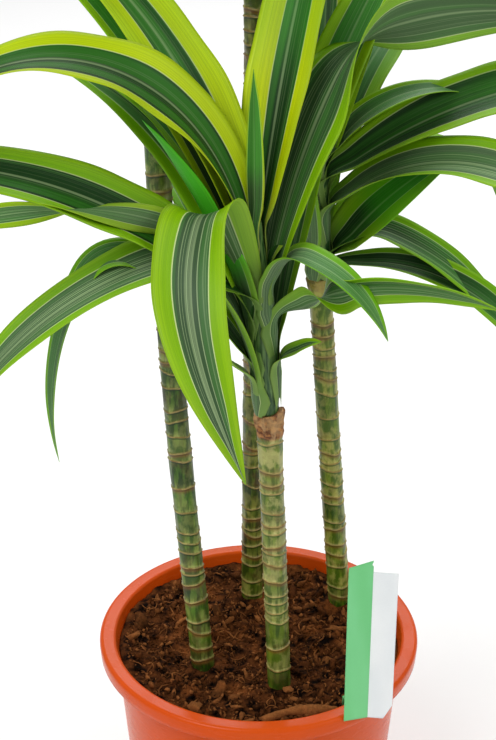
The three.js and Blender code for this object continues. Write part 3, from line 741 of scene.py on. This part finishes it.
# Leaf skin, painted across the blade by its own map: lime margins, brighter on young leaves partly as
# painted light through them, a cream line at their inner edge, and a dark middle with fine pale lines
# along it, a painted highlight down its channel and grey painted sheen over it. The underside is
# greyer and duller, its grey lightened as painted sheen. Painted light through the blade turns it a
# bright green.
def leafMaterial():
    material, paint = newMaterial("stripedLeaf", IOR=1.27), leafColours
    surface = material.node_tree.nodes.new("ShaderNodeUVMap")
    surface.uv_map = "surface"
    across, along, _ = addNode("SeparateXYZ", {0: surface.outputs[0]}).outputs
    seed, under, age, lines = (fact(material, n) for n in ("leafSeed", "underside", "leafAge", "leafLines"))
    clasp, far = fact(material, "sheath"), fact(material, "alongLeaf")
    x = timesPlus(across, 2.0, -1.0)
    place = combined(x, along, times(seed, 40.0))
    sway = streaked(place, (0.8, 2.6, 1.0), 0.0, 1.0, detail=1.0)["Value"]
    fine = streaked(place, (24.0, 0.4, 1.0), 0.5, 0.66, 3.0, 3.0)["Mask"]
    broad = streaked(place, (3.4, 0.5, 1.0), 0.42, 0.62, 8.0, 1.0)["Mask"]
    hair = streaked(place, (46.0, 0.9, 1.0), 0.4, 0.62, 5.0, 2.0)
    # the margin's inner edge wanders, and the margin widens towards the tip
    away = maths("ABSOLUTE", maths("ADD", x, times(minus(seed, 0.5), 0.16)))
    edge = timesPlus(sway, 0.16, minus(fact(material, "leafEdge"), 0.08))
    beyond = minus(away, minus(edge, ramp(far, 0.8, 1.0, 0.0, 0.35)))
    margin = ramp(beyond, -0.012, 0.018)
    creamLine = ramp(maths("ABSOLUTE", beyond), 0.006, 0.024, 1.0, 0.0)

    middle = blend(broad, paint["deep"], paint["green"])
    # painted sheen: grey-green laid over the dark middle
    middle = blend(times(fact(material, "leafSheenGrey"), 0.7), middle, paint["sheenGreyGreen"])
    middle = blend(times(fine, lines), middle, paint["line"])
    # painted highlight: a pale stripe of the line colour down the middle of the channel
    rib = ramp(maths("ABSOLUTE", x), 0.015, 0.06, 0.4, 0.0)
    middle = blend(rib, middle, paint["line"])
    # younger, higher leaves' margins are brighter, partly painted light shining through them
    lime = blend(ramp(age, 0.63, 1.03), paint["limeOld"], paint["limeYoungBacklit"])
    lime = blend(ramp(beyond, 0.12, 0.5, 0.0, 0.3), lime, paint["rim"])
    lime = blend(times(hair["Mask"], 0.22), lime, paint["green"])
    colour = blend(margin, middle, lime)
    colour = blend(times(creamLine, timesPlus(lines, 0.4, 0.55)), colour, paint["cream"])
    colour = blend(times(clasp, timesPlus(margin, 0.6, 0.05)), colour, paint["base"])
    # the underside's greyer colour, lightened as painted sheen
    undersideAndSheen = times(under, timesPlus(minus(1.0, clasp), 0.27, 0.03))
    colour = blend(undersideAndSheen, colour, paint["under"])
    # painted light shining through the blade: bright green towards its outer part
    lit = times(fact(material, "leafBacklight"), ramp(far, 0.3, 0.5, 0.0, 0.85))
    colour = blend(lit, colour, paint["fresh"])
    rough = timesPlus(under, 0.14, timesPlus(hair["Value"], 0.2, 0.3))
    return dress(material, toned(colour, timesPlus(sway, 0.5, 0.75)), rough, (hair["Value"], 0.4 * mm, 0.5))


# Young stem: green, streaked upwards in a paler one.
def shootMaterial():
    material = newMaterial("youngStem", Roughness=0.42, IOR=1.42)
    place = objectPlace(material)
    long = streaked(place, (420.0, 420.0, 40.0), 0.4, 0.62)
    colour = blend(long["Mask"], leafColours["stem"], leafColours["paleStem"])
    fine = grained(place, 1500.0, 300.0, 0.5)["Tone"]
    return dress(material, toned(colour, fine), relief=(long["Value"], 0.3 * mm, 0.6))


# All of one head's leaves and its shoot in one mesh.
def makeHead(key, leaves, materials):
    spec = canes[key]
    stem = strip(shootSurface(spec))
    bare = len(stem[0])
    grown = [leafSurface(spec, given, 100 * spec["seed"] + k) for k, given in enumerate(leaves)]
    shapes = [stem, *(shape for shape, _, _ in grown)]
    looks = [1] * len(stem[1]) + [0] * sum(len(faces) for _, faces in shapes[1:])
    uv = np.concatenate([np.zeros((bare, 2)), *(one for _, one, _ in grown)])
    facts = {name: np.concatenate([np.zeros(bare), *(f[name] for _, _, f in grown)]) for name in grown[0][2]}
    addPiece("head_" + key + "_leaves", gather(shapes), materials, ["head_" + key], uv, facts, looks)


headMaterials = [leafMaterial(), shootMaterial()]
headLeaves = {key: crownLeaves(crown) for key, crown in crowns.items()}
for key, leaves in {**headLeaves, "c": leavesC.values(), "d": leavesD.values()}.items():
    makeHead(key, leaves, headMaterials)
print("stage: four heads of leaves unfolded")


# The solid's own surface: three crossing waves, fading out towards the wall.
def soilHeight(x, y):
    waves = np.sin(x / 9 + 1.3) * np.cos(y / 11)
    waves = waves + 0.6 * np.sin((x + y) / 6.1) + 0.4 * np.cos((x - 2 * y) / 7.3)
    fade = 1 - smooth(np.hypot(x, y) / soil["baseRadius"], 0.8, 1.12)
    return soil["top"] + soil["lump"] * 0.5 * waves * (0.3 + 0.7 * fade)


# The finished ground: the solid's surface with coarse, middle and fine lumps on it, lower between
# them than they are high, heaped a little against each cane and a little higher at the back.
def groundHeight(x, y):
    flat = places(x, y, 0)
    coarse, middle, fine = (waveField(flat, *field, 28) for field in ((26, 21), (11, 22), (5, 23)))
    relief = 0.45 * coarse + 0.4 * np.abs(middle) - 0.2 + 0.22 * np.abs(fine)
    heap = sum(2.0 * bell(np.hypot(x - c["foot"][0], y - c["foot"][1]) - 9, 5) for c in canes.values())
    back = 2.5 * smooth(np.hypot(x, y), 60, 98) * smooth(y - x, -20, 60)
    return soilHeight(x, y) + soil["relief"] * relief * 0.6 + heap + back - 0.2


# Circles from the pot's floor up its wall, and then in over the ground.
def makeSoilBed(material):
    edge = wallRadius(soil["top"]) - pot["wall"] - 0.4
    low = wallRadius(pot["floor"]) - pot["wall"] - 1.0
    angle = turns(soil["sectors"])
    radius = edge * np.linspace(1, 0.004, soil["rings"])[:, None] ** 0.8
    ground = circle(0, 0, 0, radius, angle)
    ground[..., 2] = groundHeight(ground[..., 0], ground[..., 1])
    heights = np.array([[pot["floor"] + 0.4], [soil["top"] - 6]])
    wall = circle(0, 0, heights, np.array([[low], [edge - 0.3]]), angle)
    addPiece("soil_bed", strip(np.concatenate([wall, ground])), [material], ["soil"])


# A loose piece on the soil, with one tone or one for each point.
def addLoose(name, shape, material, tone):
    addPiece(name, shape, [material], facts={"crumbTone": tone + np.zeros(len(shape[0]))})


# A low ball of triangles, with its corners on the unit sphere.
def ball(fineness):
    mesh = bpy.data.meshes.new("ball")
    built = bmesh.new()
    bmesh.ops.create_icosphere(built, subdivisions=fineness, radius=1)
    built.to_mesh(mesh)
    built.free()
    points = np.array([v.co[:] for v in mesh.vertices])
    faces = [list(p.vertices) for p in mesh.polygons]
    bpy.data.meshes.remove(mesh)
    return points, faces


# Random spots on the ground, clear of the canes and the wall.
def groundSpots(random, count, margin):
    spots = np.empty((0, 2))
    reach = soil["reach"]
    while len(spots) < count:
        some = random.uniform(-reach, reach, (count * 2, 2))
        keep = np.hypot(*some.T) < reach - margin
        for spec in canes.values():
            keep &= np.hypot(*(some - spec["foot"]).T) > 9.5 + margin
        spots = np.concatenate([spots, some[keep]])
    return spots[:count]


# How many, the fineness of their balls, the least and the largest size, and the seed.
crumbs = {
    "grains": (2800, 1, (0.6, 1.5), 50), "crumbs": (1300, 1, (1.4, 3.4), 51), "chunks": (90, 2, (3, 6.2), 52),
}


# Crumbs: balls squashed unevenly, dented at random, turned any way, and half sunk in. A point p is
# turned by the unit quaternion (w, q) as p + 2 q x (q x p + w p).
def makeCrumbs(name, material, count, fineness, sizes, seed):
    random = np.random.default_rng(seed)
    points, faces = ball(fineness)
    size = mix(sizes[0], sizes[1], random.random(count) ** 2.2)
    spots = groundSpots(random, count, sizes[1])
    stretch = random.uniform((0.9, 0.45, 0.3), (1.6, 0.85, 0.6), (count, 3)) * size[:, None]
    quaternion = unit(random.normal(size=(count, 4)))
    w, q = quaternion[:, None, :1], quaternion[:, None, 1:]
    dents = 1 + 0.42 * random.uniform(-1, 1, (count, len(points), 1))
    shapes = points * dents * stretch[:, None]
    shapes = shapes + 2 * np.cross(q, np.cross(q, shapes) + w * shapes)
    ground = groundHeight(*spots.T) + 0.25 * size
    shapes = shapes + np.column_stack([spots, ground])[:, None]
    corners = np.array(faces)[None] + (np.arange(count) * len(points))[:, None, None]
    tone = np.repeat(random.random(count), len(points))
    addLoose(name, (shapes.reshape(-1, 3), corners.reshape(-1, 3).tolist()), material, tone)


# A bent, tapering stick or thread along a path of points, as closed rings round it.
def stick(path, thick, columns):
    run = unit(np.gradient(path, axis=0))
    flat = unit(np.cross(run, [0.0, 0.0, 1.0]))
    rise = np.cross(flat, run)
    angle = turns(columns)[None, :, None]
    around = np.cos(angle) * rise[:, None] + np.sin(angle) * flat[:, None]
    return path[:, None] + around * thick[:, None, None]


# Short curled threads, each drawn anew, lying on the ground and arching off it a little.
def makeFibres(material):
    random = np.random.default_rng(31)
    rows, columns = 9, 5
    shapes, tones = [], []
    t = np.linspace(-0.5, 0.5, rows)
    for spot in groundSpots(random, soil["fibres"], 4):
        heading, length = random.uniform(0, fullTurn), 4 + 14 * random.random() ** 2
        course = heading + random.uniform(-1.6, 1.6) * t
        x, y = spot[0] + length * t * np.cos(course), spot[1] + length * t * np.sin(course)
        z = groundHeight(x, y) + 0.5 + random.uniform(0, 1.4) * np.cos(math.pi * t)
        thick = random.uniform(0.2, 0.75) * (1 - 0.6 * np.abs(2 * t) ** 2)
        shapes.append(strip(stick(places(x, y, z), thick, columns)))
        tones.append(0.3 + 0.6 * random.random())
    addLoose("soil_fibres", gather(shapes), material, np.repeat(tones, rows * columns))


# A length of old bark near the front of the soil and a thin pale root to the left: sticks on a slow
# wave, whose turns are in radians.
bark = {"ends": ((2, -97), (56, -82)), "sway": 2.2, "turns": 5, "thick": 4.6, "columns": 18, "rows": 60}
paleRoot = {"ends": ((-31, 8), (-13, 2)), "sway": 2.2, "turns": 4.5, "thick": 0.8, "columns": 8, "rows": 40}

# A pale pebble, half sunk in front of the lowest cane: a ball with slow dents, squashed flat.
pebble = {"place": (21, -63), "size": (3.6, 2.7, 2.2), "sunk": 0.3}


def lyingLine(spec):
    t = np.linspace(0, 1, spec["rows"])
    x, y = (mix(start, end, t) for start, end in zip(*spec["ends"]))
    return t, x, y + spec["sway"] * np.sin(spec["turns"] * t)


def makeBark(material):
    t, x, y = lyingLine(bark)
    z = groundHeight(x, y) * 0.25 + 0.75 * (soil["top"] + 4) + 1.6 * np.sin(3.2 * t)
    blunt = np.sin(math.pi * np.clip(t * 0.94 + 0.03, 0, 1)) ** 0.35
    thick = bark["thick"] * blunt * (0.8 + 0.2 * np.cos(9 * t))
    rings = stick(places(x, y, z), thick, bark["columns"])
    centre = rings.mean(1, keepdims=True)
    rough = 1 + 0.07 * waveField(rings, 12, 41)[..., None] + 0.05 * waveField(rings, 4, 42)[..., None]
    addLoose("soil_bark", strip(centre + (rings - centre) * rough), material, 0.92)


def makePebble(material):
    points, faces = ball(3)
    dented = points * (1 + 0.12 * waveField(points, 1.6, 61)[:, None]) * pebble["size"]
    ground = groundHeight(*np.array(pebble["place"])[:, None])[0]
    placed = dented + [*pebble["place"], ground + pebble["size"][2] * (1 - pebble["sunk"])]
    addLoose("soil_pebble", (placed, faces), material, 1.0)


def makeRoot(material):
    t, x, y = lyingLine(paleRoot)
    z = groundHeight(x, y) + 0.9 + 1.2 * np.sin(math.pi * t)
    thick = paleRoot["thick"] * (1 - 0.75 * t ** 2) * (1 - 0.8 * (1 - t) ** 8)
    addLoose("soil_root", strip(stick(places(x, y, z), thick, paleRoot["columns"])), material, 1.0)


soilColours = {
    "hollow": (0.0025, 0.0009, 0.0004), "lump": (0.082, 0.025, 0.0065), "rust": (0.20, 0.060, 0.014),
    "crumb": (0.29, 0.105, 0.030),
}


# Peat: painted shade, near black, in patches as if in hollows, to red brown on the lumps, with tan
# specks and, on loose pieces, tan ones among them.
def soilMaterial(name, byCrumb):
    material = newMaterial(name, Roughness=0.95, IOR=1.15)
    place = objectPlace(material)
    lump = streaked(place, (120.0, 120.0, 120.0), 0.36, 0.62, 2.0, 5.0)["Mask"]
    rust = streaked(place, (45.0, 45.0, 45.0), 0.5, 0.68, 6.0, 3.0)["Mask"]
    speck = grained(place, 1600.0, 420.0, 2.2)
    # painted shade: near-black patches stand for the hollows between lumps
    colour = blend(lump, soilColours["hollow"], soilColours["lump"])
    colour = blend(times(rust, 0.6), colour, soilColours["rust"])
    if byCrumb:
        pick = ramp(fact(material, "crumbTone"), 0.4, 1.0, 0.0, 0.75)
        colour = blend(pick, colour, soilColours["crumb"])
    return dress(material, toned(colour, speck["Tone"]), relief=(speck["Height"], 1.2 * mm, 0.9))


makeSoilBed(soilMaterial("peatBed", False))
crumbMaterial = soilMaterial("peatCrumbs", True)
for name, numbers in crumbs.items():
    makeCrumbs("soil_" + name, crumbMaterial, *numbers)
for makeLoose in (makeFibres, makeBark, makePebble, makeRoot):
    makeLoose(crumbMaterial)
print("stage: soil filled and strewn")


tag = {
    "corner": (58.9, -105.3), "bottom": 192, "turn": 15, "fold": -22, "widths": (17.5, 17),
    "heights": (130, 121), "thickness": 0.6, "bow": 0.35, "grid": (26, 90), "slant": 3,
    "nick": (1.4, 4, 1.6), "cutCorner": (6, 12),
    "tongue": (6.5, 16.5), "tongueDrop": 10, "tongueClear": 8.5,
    "green": ((0.13, 0.52, 0.18), (0.16, 0.56, 0.22)), "white": ((0.78, 0.80, 0.80), (0.72, 0.75, 0.76)),
}


# Along a heading, and square to it on the right.
def headingPair(heading):
    return np.array([math.cos(heading), math.sin(heading)]), np.array([math.sin(heading), -math.cos(heading)])


# One panel as a thin closed plate on a grid: u runs from side to side, w from bottom to top. Reach is
# how wide the panel is at each w, and bottom and top are its ends at each u.
def panelRings(corner, heading, u, w, reach, bottom, top):
    across, z = reach * u, mix(bottom, top, w)
    bow = tag["bow"] * np.sin(math.pi * w) * np.sin(math.pi * u)
    along, away = headingPair(heading)
    front, back = (
        places(*(corner[n] + across * along[n] + (bow + t) * away[n] for n in (0, 1)), z)
        for t in (tag["thickness"], 0.0)
    )
    return np.concatenate([front, back[:, ::-1]], 1)


# Two panels that meet at a fold, and a tongue from the near one that hooks over the pot's rim.
def makeTag(materials):
    heading, foot, rest = tag["turn"] * degree, tag["bottom"], pot["height"] + 0.3
    near, far = tag["heights"]
    wide, slim = tag["widths"]
    corner = np.array(tag["corner"])
    along, away = headingPair(heading)

    u, w = np.linspace(0, 1, tag["grid"][0])[None, :], np.linspace(0, 1, tag["grid"][1])[:, None]
    # the near panel's right side steps in and out again near the top
    deep, down, half = tag["nick"]
    nicked = wide - deep * np.clip(1 - np.abs(w * (near - 1.5) - near + down) / half, 0, 1)
    nearSheet = panelRings(corner, heading, u, w, nicked, foot, foot + near - tag["slant"] * (1 - u))
    # the far one's lower corner is cut off
    width, height = tag["cutCorner"]
    cutFoot = foot + height * np.clip((u * slim - (slim - width)) / width, 0, 1)
    turned = heading + tag["fold"] * degree
    farSheet = panelRings(corner + wide * along, turned, u, w, slim, cutFoot, foot + far)
    hookInner = wallRadius(pot["height"] - tag["tongueDrop"]) - pot["wall"]
    over = pot["rimRadius"] - hookInner + tag["tongueClear"]
    path = np.array([
        (-0.6, 0), (2, 0), (over - 1.4, 0), (over - 0.4, -0.4), (over, -1.4), (over, 0.6 - tag["tongueDrop"]),
    ]) + (0, rest)
    step = unit(np.gradient(path, axis=0))
    outer = path + np.stack([-step[:, 1], step[:, 0]], -1) * tag["thickness"]
    inward, z = np.concatenate([path, outer[::-1]]).T
    sides = [corner + d * along for d in np.linspace(*tag["tongue"], 7)]
    tongue = np.stack([np.column_stack([side - inward[:, None] * away, z]) for side in sides])
    shapes = [strip(rings) for rings in (nearSheet, farSheet, tongue)]
    looks = np.repeat([0, 1, 0], [len(faces) for _, faces in shapes])
    addPiece("tag_card", gather(shapes), materials, ["tag"], looks=looks)


# Thin plastic card: one plain colour, faintly mottled, with a satin gloss.
def tagMaterial(name, colour, shade):
    material = newMaterial(name, IOR=1.48)
    place = objectPlace(material)
    fine = grained(place, 900.0, 50.0, 0.12)
    cloud = streaked(place, (40.0, 40.0, 12.0), 0.35, 0.7)["Mask"]
    skin = toned(blend(cloud, colour, shade), fine["Tone"])
    return dress(material, skin, timesPlus(cloud, 0.1, 0.34), (fine["Height"], 0.08 * mm, 0.4))


makeTag([tagMaterial("greenCard", *tag["green"]), tagMaterial("whiteCard", *tag["white"])])
print("stage: tag folded")


# The studio, in metres: each light's place, size and power, and the photograph's camera, whose focal
# length and height are in the photograph's own pixels.
stage = {
    "floor": 6.0, "floorColour": (0.88, 0.88, 0.88), "world": 0.5, "aim": (0.0, 0.0, 0.45),
    "lights": {
        "key": ((-1.3, -1.5, 2.5), 1.5, 46), "fill": ((1.7, -0.9, 1.5), 1.5, 12),
        "back": ((0.4, 2.4, 3.2), 2.6, 90),
    },
    "camera": {"place": (-0.008, -1.0, 0.908), "pitch": 26.3, "focal": 1600, "height": 740, "sensor": 36},
}


def makeFloor():
    corners = np.array([(-1, -1, 0), (1, -1, 0), (1, 1, 0), (-1, 1, 0)]) * stage["floor"] / mm
    floor = addObject("floor", newMesh("floor", corners, [(0, 1, 2, 3)]))
    material = newMaterial("paleFloor", Roughness=0.7)
    fine = grained(objectPlace(material), 90.0, 3.0, 0.03)
    floor.data.materials.append(dress(material, toned(stage["floorColour"], fine["Tone"])))


def makeLights():
    world = bpy.data.worlds.new("studio")
    world.use_nodes = True
    background = world.node_tree.nodes["Background"]
    background.inputs["Color"].default_value = (1.0, 1.0, 1.0, 1.0)
    background.inputs["Strength"].default_value = stage["world"]
    bpy.context.scene.world = world
    for name, (place, size, power) in stage["lights"].items():
        light = bpy.data.lights.new(name, "AREA")
        light.shape, light.size, light.energy = "SQUARE", size, power
        lamp = addObject(name, light)
        lamp.location = place
        towards = Vector(stage["aim"]) - Vector(place)
        lamp.rotation_euler = towards.to_track_quat("-Z", "Y").to_euler()


def makeCamera():
    facts = stage["camera"]
    data = bpy.data.cameras.new("camera")
    data.sensor_fit, data.sensor_width = "AUTO", facts["sensor"]
    data.lens = facts["focal"] * facts["sensor"] / facts["height"]
    camera = addObject("camera", data)
    camera.location = facts["place"]
    camera.rotation_euler = ((90 - facts["pitch"]) * degree, 0, 0)
    bpy.context.scene.camera = camera


makeFloor()
makeLights()
makeCamera()
bpy.context.scene.view_settings.view_transform = "Standard"
print("stage: floor, light and camera set")
